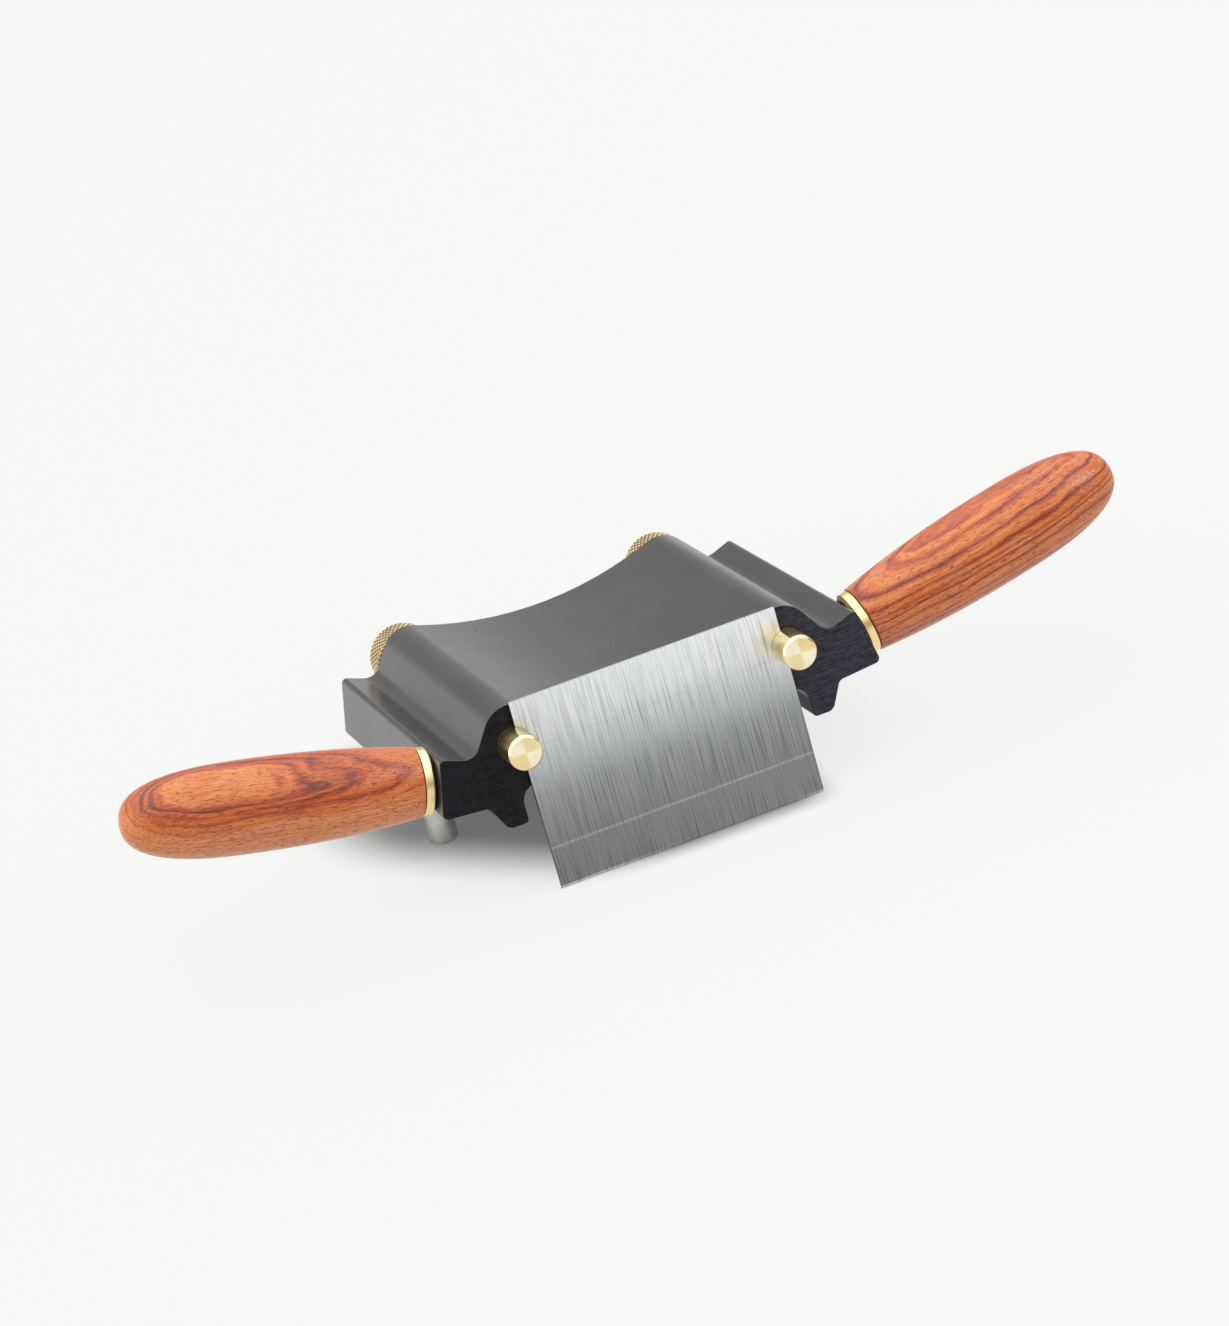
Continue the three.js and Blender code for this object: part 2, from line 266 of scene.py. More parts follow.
def even_normals(thing):
    """Keeps the shading of large flat faces flat beside narrow rounded edges."""
    modifier = thing.modifiers.new("even_normals", "WEIGHTED_NORMAL")
    modifier.keep_sharp = True


def turned(outline, facets=96):
    """Points and faces of (radius, along) points turned about Z. The outline is closed on itself,
    unless its ends are on the axis."""
    points = []
    rings = []
    for radius, along in outline:
        if radius < 1e-6:
            rings.append([len(points)])
            points.append((0, 0, along))
            continue
        rings.append(list(range(len(points), len(points) + facets)))
        for k in range(facets):
            angle = math.tau * k / facets
            points.append((radius * math.cos(angle), radius * math.sin(angle), along))
    faces = []
    pairs = list(zip(rings, rings[1:]))
    if outline[0][0] > 0:
        pairs.append((rings[-1], rings[0]))
    for low, high in pairs:
        for k in range(facets):
            corners = [low[k % len(low)], low[(k + 1) % facets % len(low)]]
            corners += [high[(k + 1) % facets % len(high)], high[k % len(high)]]
            distinct = list(dict.fromkeys(corners))
            if len(distinct) > 2:
                faces.append(distinct)
    return points, faces


def lathe(name, corners, place, materials, facets=96):
    """A turned piece from (radius, along, corner radius) corners."""
    closed = corners[0][0] > 0
    outline = [tuple(point) for point in rounded(corners, 15, closed)]
    points, faces = turned(outline, facets)
    made = piece(name, points, faces, place, materials)
    even_normals(made)
    return made


def rod_outline(radius, start, end):
    return [(0, start), (radius, start), (radius, end), (0, end)]


def block(low, high, place):
    """A plain box, used only to cut other pieces."""
    xs, ys, zs = zip(low, high)
    points = [(x, y, z) for x in xs for y in ys for z in zs]
    faces = [(0, 1, 3, 2), (4, 6, 7, 5), (0, 4, 5, 1), (2, 3, 7, 6), (0, 2, 6, 4), (1, 5, 7, 3)]
    return piece("cutter", points, faces, place, [])


def drill(outline, place):
    """A turned solid, used only to cut other pieces."""
    return piece("cutter", *turned(outline, 64), place, [])


def cut(thing, cutters):
    """Takes the cutters out of the piece and removes them."""
    for cutter in cutters:
        modifier = thing.modifiers.new("cut", "BOOLEAN")
        modifier.operation = "DIFFERENCE"
        modifier.solver = "EXACT"
        modifier.object = cutter
    bpy.context.view_layer.update()
    seen = thing.evaluated_get(bpy.context.evaluated_depsgraph_get())
    mesh = bpy.data.meshes.new_from_object(seen)
    thing.modifiers.clear()
    thing.data = mesh
    for cutter in cutters:
        bpy.data.objects.remove(cutter)
    smooth(thing)
    even_normals(thing)


def mark(thing, place):
    """Stores at every point its place in the piece's own frame and the way round its Z axis."""
    own_frame = place.inverted()
    turn = place.to_3x3()
    local = thing.data.attributes.new("local", "FLOAT_VECTOR", "POINT")
    around = thing.data.attributes.new("around", "FLOAT_VECTOR", "POINT")
    for i, vertex in enumerate(thing.data.vertices):
        spot = own_frame @ vertex.co
        local.data[i].vector = spot
        around.data[i].vector = turn @ Vector((-spot.y, spot.x, 0)).normalized()


def finished(thing, place, body, node):
    mark(thing, place)
    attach(thing, body)
    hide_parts(node)


# ---------------------------------------------------------------- material tools


class Graph:
    """A node tree whose nodes are added one call at a time."""

    def __init__(self, tree):
        self.nodes = tree.nodes
        self.links = tree.links

    def plug(self, socket, value):
        if isinstance(value, bpy.types.NodeSocket):
            self.links.new(value, socket)
        else:
            socket.default_value = value

    def give(self, node, inputs):
        for name, value in inputs.items():
            self.plug(node.inputs[name], value)

    def add(self, kind, inputs, **settings):
        node = self.nodes.new(f"ShaderNode{kind}")
        for name, value in settings.items():
            setattr(node, name, value)
        self.give(node, inputs)
        return node

    def split(self, vector):
        return self.add("SeparateXYZ", {"Vector": vector}).outputs

    def join(self, x=0.0, y=0.0, z=0.0):
        return self.add("CombineXYZ", {"X": x, "Y": y, "Z": z}).outputs["Vector"]

    def math(self, operation, a, b=0.0):
        node = self.add("Math", {}, operation=operation)
        self.plug(node.inputs[0], a)
        self.plug(node.inputs[1], b)
        return node.outputs["Value"]

    def span(self, value, low, high, to_low=0.0, to_high=1.0, kind="LINEAR"):
        inputs = {"Value": value, "From Min": low, "From Max": high, "To Min": to_low, "To Max": to_high}
        return self.add("MapRange", inputs, interpolation_type=kind).outputs["Result"]

    def band(self, value, low_clear, low_full, high_full, high_clear):
        """1 between the two full values, falling to 0 at the two clear ones."""
        rise = self.span(value, low_clear, low_full)
        return self.math("MULTIPLY", rise, self.span(value, high_clear, high_full))


class Finish(Graph):
    """A material round one Principled shader."""

    def __init__(self, name, color, metallic, roughness, **surface):
        self.material = bpy.data.materials.new(name)
        self.material.use_nodes = True
        super().__init__(self.material.node_tree)
        self.shader = self.nodes["Principled BSDF"]
        self.give(self.shader, {"Base Color": (*color, 1), "Metallic": metallic, "Roughness": roughness})
        self.give(self.shader, surface)

    def place(self, scale=(1, 1, 1), turn=(0, 0, 0), shift=(0, 0, 0)):
        """The place in the piece's own frame in metres, turned, scaled and shifted."""
        local = self.add("Attribute", {}, attribute_name="local").outputs["Vector"]
        turned_there = self.add("Mapping", {"Vector": local, "Rotation": turn}).outputs["Vector"]
        mapping = {"Vector": turned_there, "Scale": scale, "Location": shift}
        return self.add("Mapping", mapping).outputs["Vector"]

    def noise(self, vector, scale=1.0, detail=3.0, rough=0.5):
        inputs = {"Vector": vector, "Scale": scale, "Detail": detail, "Roughness": rough}
        return self.add("TexNoise", inputs).outputs["Fac"]

    def ramp(self, factor, stops):
        node = self.add("ValToRGB", {"Fac": factor})
        elements = node.color_ramp.elements
        while len(elements) < len(stops):
            elements.new(0.5)
        for element, (at, color) in zip(elements, stops):
            element.position = at
            element.color = (*color, 1)
        return node.outputs["Color"]

    def mix(self, factor, a, b, blend="MIX"):
        node = self.add("Mix", {}, data_type="RGBA", blend_type=blend)
        self.plug(node.inputs[0], factor)
        self.plug(node.inputs[6], a if isinstance(a, bpy.types.NodeSocket) else (*a, 1))
        self.plug(node.inputs[7], b if isinstance(b, bpy.types.NodeSocket) else (*b, 1))
        return node.outputs[2]

    def grey(self, value):
        return self.add("CombineColor", {"Red": value, "Green": value, "Blue": value}).outputs["Color"]

    def bump(self, height, distance):
        return self.add("Bump", {"Height": height, "Distance": distance}).outputs["Normal"]

    def tangent(self, vector):
        settings = {"vector_type": "VECTOR", "convert_from": "OBJECT", "convert_to": "WORLD"}
        return self.add("VectorTransform", {"Vector": vector}, **settings).outputs["Vector"]

    def around(self):
        """The direction round a turned piece."""
        return self.tangent(self.add("Attribute", {}, attribute_name="around").outputs["Vector"])

    def set(self, **inputs):
        self.give(self.shader, {name.replace("_", " "): value for name, value in inputs.items()})
        return self.material


# ---------------------------------------------------------------- materials


def anodised():
    """Satin black, with faint drawing lines along the extrusion and a few scuffs."""
    f = Finish("black_anodised", (0.024, 0.0225, 0.0225), 0.0, 0.3, **{"IOR": 1.62})
    lines = f.noise(f.place((2600, 14, 2600)), detail=2)
    cloud = f.noise(f.place((45, 30, 45)), detail=4, rough=0.6)
    specks = f.noise(f.place((420, 150, 420), (0, 0, 0.5), (3, 1, 0)), detail=2, rough=0.4)
    scuff = f.span(specks, 0.74, 0.77, 0.0, 0.6)
    tone = f.ramp(cloud, [(0.3, (0.02, 0.018, 0.018)), (0.7, (0.027, 0.025, 0.0245))])
    color = f.mix(scuff, tone, (0.007, 0.007, 0.007))
    gloss = f.math("ADD", f.span(cloud, 0.3, 0.7, 0.23, 0.29), f.math("MULTIPLY", scuff, 0.2))
    return f.set(Base_Color=color, Roughness=gloss, Normal=f.bump(lines, 0.0000025))


def sawn():
    """The square-cut ends: near black, with fine saw lines across, and darkest on the left by painted
    shade.
    """
    f = Finish("sawn_ends", (0.01, 0.01, 0.014), 0.0, 0.45, **{"IOR": 1.22})
    lines = f.noise(f.place((90, 90, 1900)), detail=3)
    mottle = f.noise(f.place((380, 380, 520)), detail=3, rough=0.6)
    # painted shade: the face darkens towards its left end
    across = f.span(f.split(f.place())["X"], -0.06, 0.062, 0.28, 1.0)
    wear = f.math("ADD", f.math("MULTIPLY", lines, 0.6), f.math("MULTIPLY", mottle, 0.4))
    tone = f.ramp(wear, [(0.36, (0.007, 0.0068, 0.01)), (0.62, (0.048, 0.046, 0.062))])
    color = f.mix(1.0, tone, f.grey(across), "MULTIPLY")
    gloss = f.span(mottle, 0.3, 0.7, 0.4, 0.55)
    return f.set(Base_Color=color, Roughness=gloss, Normal=f.bump(lines, 0.000008))


def ground_steel():
    """Ground steel with its grain running down the blade and one scratch across it. Painted reflection
    makes it darker down the blade, and painted highlights make the ledge over the lapped strip and
    the cutting bevel lighter."""
    f = Finish("blade_steel", (0.8, 0.82, 0.83), 1.0, 0.34, Anisotropic=0.65)
    fine = f.noise(f.place((2300, 1, 34)), detail=2, rough=0.6)
    broad = f.noise(f.place((1150, 1, 14), shift=(7, 0, 2)), detail=3, rough=0.75)
    grain = f.math("ADD", f.math("MULTIPLY", fine, 0.8), f.math("MULTIPLY", broad, 0.2))
    streaks = f.ramp(grain, [
        (0.34, (0.46, 0.485, 0.495)),
        (0.5, (0.91, 0.945, 0.955)),
        (0.62, (1.0, 1.0, 1.0)),
    ])
    # the painted light of the blade multiplies its streaks
    color = f.mix(1.0, streaks, f.grey(painted_blade_shade(f)), "MULTIPLY")
    normal = f.bump(grain, 0.000004)
    gloss = f.span(broad, 0.3, 0.7, 0.31, 0.36)
    tangent = f.tangent(tuple(RIGHT))
    return f.set(Base_Color=color, Roughness=gloss, Normal=normal, Tangent=tangent)


def painted_blade_shade(f):
    """The painted light on the blade: painted reflection from its cutting edge up to its top, painted
    shade from side to side and on its rounded side edges, painted highlights on the ledge and the
    cutting bevel, and a darker scratch.
    """
    spot = f.split(f.place())
    tones = [  # height and painted lightness
        (-71.5, 0.26),
        (-64, 0.268),
        (-54, 0.278),
        (-44, 0.33),
        (-36, 0.41),
        (-24, 0.64),
        (-12, 0.88),
        (0, 1.0),
    ]
    stops = [(1 + height / BLADE_HEIGHT, (tone, tone, tone)) for height, tone in tones]
    # painted reflection: lightest at the top, darkest at the cutting edge
    shade = f.ramp(f.span(spot["Z"], -BLADE_HEIGHT * MM, 0), stops)
    ledge_foot = -BLADE_HEIGHT + HONED_HEIGHT
    ledge_top = ledge_foot + HONED_LINE
    ledge_edges = (ledge_foot - 0.05, ledge_foot + 0.1, ledge_top, ledge_top + 0.1)
    # painted highlight along the ledge over the lapped strip
    ledge = f.band(spot["Z"], *(edge * MM for edge in ledge_edges))
    scratch = f.band(spot["Z"], *(edge * MM for edge in (-18.6, -18.3, -18.1, -17.8)))
    bevel_top = -BLADE_HEIGHT + CUTTING_BEVEL
    # painted reflection makes the cutting bevel lighter
    bevel = f.span(spot["Z"], (bevel_top + 0.05) * MM, (bevel_top - 0.1) * MM)
    half = BLADE_WIDTH / 2
    # painted shade darkens the rounded side edges
    eased = f.span(f.math("ABSOLUTE", spot["X"]), (half - 0.18) * MM, (half - 0.02) * MM, 1.0, 0.25)
    # painted shade, lighter towards the right of the blade
    across = f.math("MULTIPLY", f.span(spot["X"], -0.05, 0.05, 0.94, 1.05), eased)
    shade = f.math("ADD", shade, f.math("MULTIPLY", ledge, 0.11))
    shade = f.math("SUBTRACT", shade, f.math("MULTIPLY", scratch, 0.06))
    shade = f.math("ADD", shade, f.math("MULTIPLY", bevel, 0.33))
    return f.math("MULTIPLY", shade, across)


def brass(name, roughness, anisotropic, ring_scale):
    """Turned brass, with fine tool rings about the piece's own axis, painted shade in the grooves of a
    knurl and a painted highlight, a pale fan as on a faced end, on the front of a clamp pin."""
    surface = {"Anisotropic": anisotropic, "Anisotropic Rotation": 0.25}
    f = Finish(name, (0.88, 0.68, 0.3), 1.0, roughness, **surface)
    spot = f.split(f.place())
    squares = f.math("ADD", f.math("POWER", spot["X"], 2.0), f.math("POWER", spot["Y"], 2.0))
    across = f.math("MULTIPLY", f.math("SQRT", squares), ring_scale)
    marks = f.noise(f.join(x=across, z=f.math("MULTIPLY", spot["Z"], ring_scale)), detail=2)
    stain = f.noise(f.place((110, 110, 110)), detail=2)
    color = f.ramp(stain, [
        (0.3, (0.86, 0.66, 0.31)),
        (0.55, (0.92, 0.74, 0.38)),
        (0.75, (0.94, 0.79, 0.46)),
    ])
    # painted shade, darkening the brass down in the knurl's grooves
    groove = f.add("Attribute", {}, attribute_name="groove").outputs["Fac"]
    color = f.mix(f.span(groove, 0.2, 0.8), color, (0.1, 0.055, 0.012))
    # painted highlight: a pale fan across the front face of a clamp pin
    fan = f.math("SINE", f.math("MULTIPLY", f.math("ARCTAN2", spot["Y"], spot["X"]), 2.0))
    pin_face = f.span(spot["Z"], (PIN_FRONT + 0.3) * MM, (PIN_FRONT + 0.1) * MM)
    painted_fan_highlight = f.math("MULTIPLY", f.span(fan, -0.25, 0.45), pin_face)
    color = f.mix(painted_fan_highlight, color, (1.0, 0.93, 0.68))
    gloss = f.span(stain, 0.3, 0.7, roughness - 0.02, roughness + 0.03)
    return f.set(Base_Color=color, Roughness=gloss, Normal=f.bump(marks, 0.0000012), Tangent=f.around())


def plated():
    """Satin plated steel."""
    f = Finish("plated_steel", (0.6, 0.59, 0.56), 1.0, 0.38)
    marks = f.noise(f.place((300, 300, 3600)), detail=2)
    cloud = f.noise(f.place((220, 220, 220)), detail=4, rough=0.6)
    color = f.ramp(cloud, [(0.3, (0.52, 0.51, 0.48)), (0.7, (0.66, 0.65, 0.62))])
    gloss = f.span(cloud, 0.3, 0.7, 0.33, 0.44)
    return f.set(Base_Color=color, Roughness=gloss, Normal=f.bump(marks, 0.000005))


LEFT_LAYERS = [  # how deep each growth layer lies in the handle, and how light it is
    (-16, 0.5), (-12, 0.2), (-8, 0.6), (-3, 0.66), (3, 0.74), (7, 0.7), (8.6, 0.66), (9.4, 0.44),
    (10.4, 0.5), (11.3, 0.26), (12.2, 0.44), (13, 0.1), (13.7, 0.42), (14.3, 0.12), (15.1, 0.5),
    (16.4, 0.62),
]
RIGHT_LAYERS = [
    (-16, 0.5), (-11, 0.7), (-7.5, 0.2), (-5.5, 0.74), (-4.2, 0.3), (-3.2, 0.7), (-1, 0.62),
    (0.1, 0.1), (0.7, 0.6), (2.2, 0.7), (2.9, 0.02), (3.5, 0.62), (5, 0.3), (5.6, 0.66),
    (6.6, 0.48), (7.1, 0.06), (7.8, 0.58), (9.4, 0.66), (10.2, 0.5), (10.8, 0.0), (11.5, 0.52),
    (12.8, 0.76), (13.7, 0.2), (14.5, 0.56), (15.8, 0.3),
]


def bubinga(name, toward, lean, seed, layers):
    """Red-brown timber. Its growth layers face toward, a direction across the handle, and lean
    towards the tip by an angle, both in the handle's frame. They follow the layers given."""
    surface = {"IOR": 1.45, "Coat Weight": 0.25, "Coat Roughness": 0.2}
    f = Finish(name, (0.5, 0.15, 0.045), 0.0, 0.4, **surface)
    turn = Matrix.Rotation(lean, 3, "Y") @ Matrix.Rotation(-math.atan2(toward[1], toward[0]), 3, "Z")
    turn = tuple(turn.to_euler())
    depth = f.split(f.place((1, 1, 1), turn))
    level = f.math("ADD", depth["X"], -lean * HANDLE_FATTEST * MM)
    drift = f.noise(f.place((42, 42, 13), turn, (seed, 0, 0)), detail=3, rough=0.5)
    sway = f.math("MULTIPLY", f.math("SUBTRACT", drift, 0.5), 0.011)
    layer = f.math("ADD", level, sway)
    stops = [((1 + at / HANDLE_RADIUS) / 2, (tone, tone, tone)) for at, tone in layers]
    rings = f.ramp(f.span(layer, -HANDLE_RADIUS * MM, HANDLE_RADIUS * MM), stops)
    along = f.join(layer, f.math("MULTIPLY", depth["Y"], 0.05), f.math("MULTIPLY", depth["Z"], 0.02))
    lines = f.noise(along, 1250.0, 3.0, 0.6)
    fibre = f.noise(f.place((2400, 2400, 110), turn, (seed, 2, 0)), detail=3, rough=0.65)
    fleck = f.math("ADD", f.span(lines, 0.3, 0.7, -0.22, 0.22), f.span(fibre, 0.3, 0.7, -0.18, 0.18))
    tone = f.ramp(f.math("ADD", rings, fleck), [
        (0.0, (0.11, 0.013, 0.003)),
        (0.22, (0.33, 0.046, 0.007)),
        (0.48, (0.5, 0.11, 0.019)),
        (0.72, (0.56, 0.175, 0.043)),
        (1.0, (0.63, 0.27, 0.11)),
    ])
    patch = f.noise(f.place((75, 75, 22), turn, (seed, 0, 9)), detail=3, rough=0.55)
    tone = f.mix(f.span(patch, 0.57, 0.72, 0.0, 0.45), tone, (0.42, 0.15, 0.12))
    dash = f.noise(f.place((3100, 3100, 380), turn, (seed, 4, 4)), detail=1, rough=0.3)
    pore = f.span(dash, 0.6, 0.65)
    color = f.mix(f.math("MULTIPLY", pore, 0.7), tone, (0.1, 0.014, 0.004))
    gloss = f.math("ADD", f.span(patch, 0.3, 0.7, 0.36, 0.44), f.math("MULTIPLY", pore, 0.2))
    relief = f.math("SUBTRACT", f.math("MULTIPLY", fibre, 0.25), pore)
    return f.set(Base_Color=color, Roughness=gloss, Normal=f.bump(relief, 0.00002))


def paper():
    """White paper that is a little overexposed, except in a painted shadow under the tool, where it
    glows less.
    """
    surface = {"Specular IOR Level": 0.0, "Emission Color": (1, 1, 0.995, 1)}
    f = Finish("pale_floor", (0.09, 0.0895, 0.0885), 0.0, 0.9, **surface)
    spot = f.split(f.place())
    slant = f.math("ADD", spot["Y"], f.math("MULTIPLY", spot["X"], 0.92))
    limits = [  # a way across the floor, where along it the painted shadow ends, and where it is full
        (slant, -0.126, -0.08),
        (spot["Y"], -0.09, -0.076),
        (spot["X"], -0.125, -0.085),
        (spot["X"], 0.06, 0.038),
        (spot["Y"], 0.08, 0.04),
    ]
    shade = 1.0
    for way, clear, full in limits:
        shade = f.math("MULTIPLY", shade, f.span(way, clear, full, kind="SMOOTHSTEP"))
    # the glow drops under the tool, painting its shadow
    glow = f.math("SUBTRACT", 0.79, f.math("MULTIPLY", shade, 0.65))
    tooth = f.noise(f.place((420, 420, 420)), detail=3, rough=0.6)
    return f.set(Emission_Strength=glow, Normal=f.bump(tooth, 0.0002))


# ---------------------------------------------------------------- studio


def camera():
    """The view, as a place and the directions it looks and leans in."""
    spot = Vector((-0.3944, -1.543, 0.8784))
    azimuth, elevation, roll = (math.radians(angle) for angle in (-14.581, 27.882, -13.0))
    reach = math.cos(elevation)
    back = Vector((math.sin(azimuth) * reach, -math.cos(azimuth) * reach, math.sin(elevation)))
    level = Vector((0, 0, 1)).cross(back).normalized()
    upright = back.cross(level)
    right = level * math.cos(roll) + upright * math.sin(roll)
    turn = Matrix((right, back.cross(right), back)).transposed().to_4x4()
    data = bpy.data.cameras.new("camera")
    data.lens = 134.1
    data.clip_end = 60
    view = bpy.data.objects.new("camera", data)
    bpy.context.scene.collection.objects.link(view)
    view.matrix_world = Matrix.Translation(spot) @ turn
    bpy.context.scene.camera = view


def floor():
    """A sheet so wide that its edges stay far off."""
    reach = 12000
    points = [(-reach, -reach, 0), (reach, -reach, 0), (reach, reach, 0), (-reach, reach, 0)]
    made = piece("floor", points, [(0, 1, 2, 3)], Matrix.Identity(4), [paper()])
    mark(made, Matrix.Identity(4))


def softbox(name, place, size, watts, aim=(0, 0, 0.04)):
    data = bpy.data.lights.new(name, "AREA")
    data.shape = "RECTANGLE"
    data.size, data.size_y = size
    data.energy = watts
    light = bpy.data.objects.new(name, data)
    bpy.context.scene.collection.objects.link(light)
    light.location = place
    light.rotation_euler = (Vector(aim) - Vector(place)).to_track_quat("-Z", "Y").to_euler()
    light.visible_camera = False


def sky():
    """A light tent: bright overhead, dim low in front and bright low on the far left. The camera
    itself sees it as near white."""
    world = bpy.data.worlds.new("studio")
    bpy.context.scene.world = world
    world.use_nodes = True
    g = Graph(world.node_tree)
    way = g.split(g.add("TexCoord", {}).outputs["Generated"])
    high = g.span(way["Z"], 0.2, 0.9, 0.46, 2.2, "SMOOTHSTEP")
    behind = g.span(way["Y"], -0.5, 0.8, 0.85, 1.1, "SMOOTHSTEP")
    left = g.math("MULTIPLY", g.span(way["X"], -0.72, -0.86), g.span(way["Z"], 0.6, 0.45))
    tent = g.math("ADD", g.math("MULTIPLY", high, behind), g.math("MULTIPLY", left, 1.6))
    seen = g.add("LightPath", {}).outputs["Is Camera Ray"]
    unseen = g.math("MULTIPLY", tent, g.math("SUBTRACT", 1.0, seen))
    strength = g.math("ADD", unseen, g.math("MULTIPLY", seen, 0.93))
    g.give(g.nodes["Background"], {"Color": (1, 1, 1, 1), "Strength": strength})


def studio():
    camera()
    floor()
    sky()
    softbox("right_key", (1.5, -0.9, 1.3), (0.7, 0.7), 7)
    bpy.context.scene.view_settings.view_transform = "Standard"


# ---------------------------------------------------------------- body


def body_outline():
    left = [(-x, z, radius) for x, z, radius in reversed(RIGHT_CORNERS)]
    return rounded([SADDLE, *RIGHT_CORNERS, *left], 3)


def inset(outline, distance):
    """The outline moved inwards along its own normals."""
    moved = []
    for i, point in enumerate(outline):
        run = (outline[(i + 1) % len(outline)] - outline[i - 1]).normalized()
        moved.append(point + Vector((run.y, -run.x)) * distance)
    return moved


def body():
    """The extrusion, its two rims eased, then bored for the clamps, handles and post."""
    outline = body_outline()
    quarter_turn = (0, 0.52, 1.05, math.pi / 2)
    stations = []
    for angle in quarter_turn:
        stations.append((BODY_RIM * (1 - math.sin(angle)), BODY_RIM * (1 - math.cos(angle))))
    stations += [(away, BODY_LENGTH - y) for away, y in reversed(stations)]
    points = []
    for away, y in stations:
        points += [(p.x, y, p.y) for p in inset(outline, away)]
    count = len(outline)
    faces = [list(range(count)), list(range((len(stations) - 1) * count, len(stations) * count))]
    for station in range(len(stations) - 1):
        for k in range(count):
            a, b = station * count + k, station * count + (k + 1) % count
            faces.append([a, b, b + count, a + count])
    made = piece("plane_body", points, faces, TOOL, [anodised(), sawn()])
    cut(made, body_bores())
    for polygon in made.data.polygons:
        polygon.material_index = 1 if abs(polygon.normal.dot(BACK)) > 0.9 else 0
    finished(made, TOOL, "frame", "body")


def body_bores():
    """Cutters for the stepped clamp bores, the handle studs and the post's stud."""
    overrun = 5
    overlap = 1
    mouth = 0.3
    bores = []
    for side in SIDES.values():
        clamp = clamp_place(side)
        pin_bore = [(0, -overrun), (PIN_BORE + mouth + overrun, -overrun), (PIN_BORE, mouth)]
        pin_bore += [(PIN_BORE, PIN_BACK + TOUCH), (0, PIN_BACK + TOUCH)]
        bores.append(drill(pin_bore, clamp))
        stud_bore = [(0, PIN_BACK - overlap), (STUD_BORE, PIN_BACK - overlap)]
        stud_bore += [(STUD_BORE, BODY_LENGTH - mouth)]
        stud_bore += [(STUD_BORE + mouth + overrun, BODY_LENGTH + overrun), (0, BODY_LENGTH + overrun)]
        bores.append(drill(stud_bore, clamp))
        wing_bore = rod_outline(STUD_BORE, HANDLE_STUD_SPAN[0] - TOUCH, overrun)
        bores.append(drill(wing_bore, handle_place(side)))
    top = post_top(0, 0) + TOUCH
    post_bore = rod_outline(POST_SOCKET, top - overrun, top + POST_STUD_GRIP + TOUCH)
    bores.append(drill(post_bore, post_place()))
    return bores


# ---------------------------------------------------------------- blade


def blade():
    """A ground plate. A lapped strip lies a hair lower along the cutting edge."""
    ledge_foot = -BLADE_HEIGHT + HONED_HEIGHT
    ledge_top = ledge_foot + HONED_LINE
    section = [
        (BLADE_FRONT, 0),
        (BLADE_FRONT, ledge_top),
        (BLADE_FRONT + HONED_DEPTH, ledge_foot),
        (BLADE_FRONT + HONED_DEPTH, -BLADE_HEIGHT + CUTTING_BEVEL - HONED_DEPTH),
        (BLADE_BACK, -BLADE_HEIGHT),
        (BLADE_BACK, 0),
    ]
    half = BLADE_WIDTH / 2
    points = [(x, y, z) for x in (-half, half) for y, z in section]
    count = len(section)
    faces = [list(range(count)), list(range(count, 2 * count))]
    faces += [[k, (k + 1) % count, (k + 1) % count + count, k + count] for k in range(count)]
    made = piece("ground_blade", points, faces, TOOL, [ground_steel()])
    ease_edges(made, 0.1)
    even_normals(made)
    finished(made, TOOL, "blade", "scraper_blade")


def ease_edges(thing, width):
    """Rounds every edge sharper than 60 degrees."""
    bm = bmesh.new()
    bm.from_mesh(thing.data)
    sharp = [edge for edge in bm.edges if edge.calc_face_angle(0) > math.radians(60)]
    bmesh.ops.bevel(bm, geom=sharp, offset=width * MM, segments=2, profile=0.5, affect="EDGES")
    bm.to_mesh(thing.data)
    bm.free()
    smooth(thing)


# ---------------------------------------------------------------- screws


def pressed(points, outer, radius_at):
    """The points, with those at the outer radius moved to the radius given there."""
    moved = []
    for x, y, z in points:
        share = 1
        if math.hypot(x, y) > outer - 1e-4:
            share = radius_at(math.atan2(y, x), z) / outer
        moved.append((x * share, y * share, z))
    return moved


def screw(name, place, outer, pitch, start, end, material, bore=0):
    """A rod threaded from end to end, or a sleeve if it is given a bore."""
    depth = THREAD_DEPTH * pitch
    steps = round((end - start) / pitch * THREAD_STEPS)

    def radius_at(angle, along):
        """Flat for a tenth of the pitch at crest and root, and chamfered at both ends."""
        turn = (along / pitch - angle / math.tau) % 1
        flank = abs(turn - 0.5) * 2
        radius = outer - depth * min(1, max(0, 1.25 * flank - 0.125))
        return min(radius, outer - depth + (along - start), outer - depth + (end - along))

    outline = [(bore, start)]
    outline += [(outer, start + (end - start) * step / steps) for step in range(steps + 1)]
    outline.append((bore, end))
    points, faces = turned(outline, THREAD_FACETS)
    return piece(name, pressed(points, outer, radius_at), faces, place, [material])


# ---------------------------------------------------------------- clamps


def clamp_pin(name, side, material):
    """A chamfered pin, slotted for the blade's edge and bored from behind for its stud."""
    place = clamp_place(side)
    made = lathe(f"{name}_pin", [
        (0, PIN_FRONT, 0),
        (PIN_RADIUS - PIN_CHAMFER, PIN_FRONT, 0.1),
        (PIN_RADIUS, PIN_FRONT + PIN_CHAMFER, 0.2),
        (PIN_RADIUS, PIN_BACK, 0.4),
        (0, PIN_BACK, 0),
    ], place, [material], 128)
    made.modifiers.clear()
    slot_bottom = BLADE_WIDTH / 2 + SLOT_SIDE_GAP - CLAMP_X
    reach = 3 * PIN_RADIUS
    slot = block((-reach, -reach, SLOT_FRONT), (slot_bottom, reach, SLOT_BACK), place)
    socket = drill(rod_outline(STUD_BORE, STUD_START - TOUCH, PIN_BACK + TOUCH + 1), place)
    cut(made, [slot, socket])
    finished(made, place, f"{name}_clamp", f"{name}_clamp_pin")


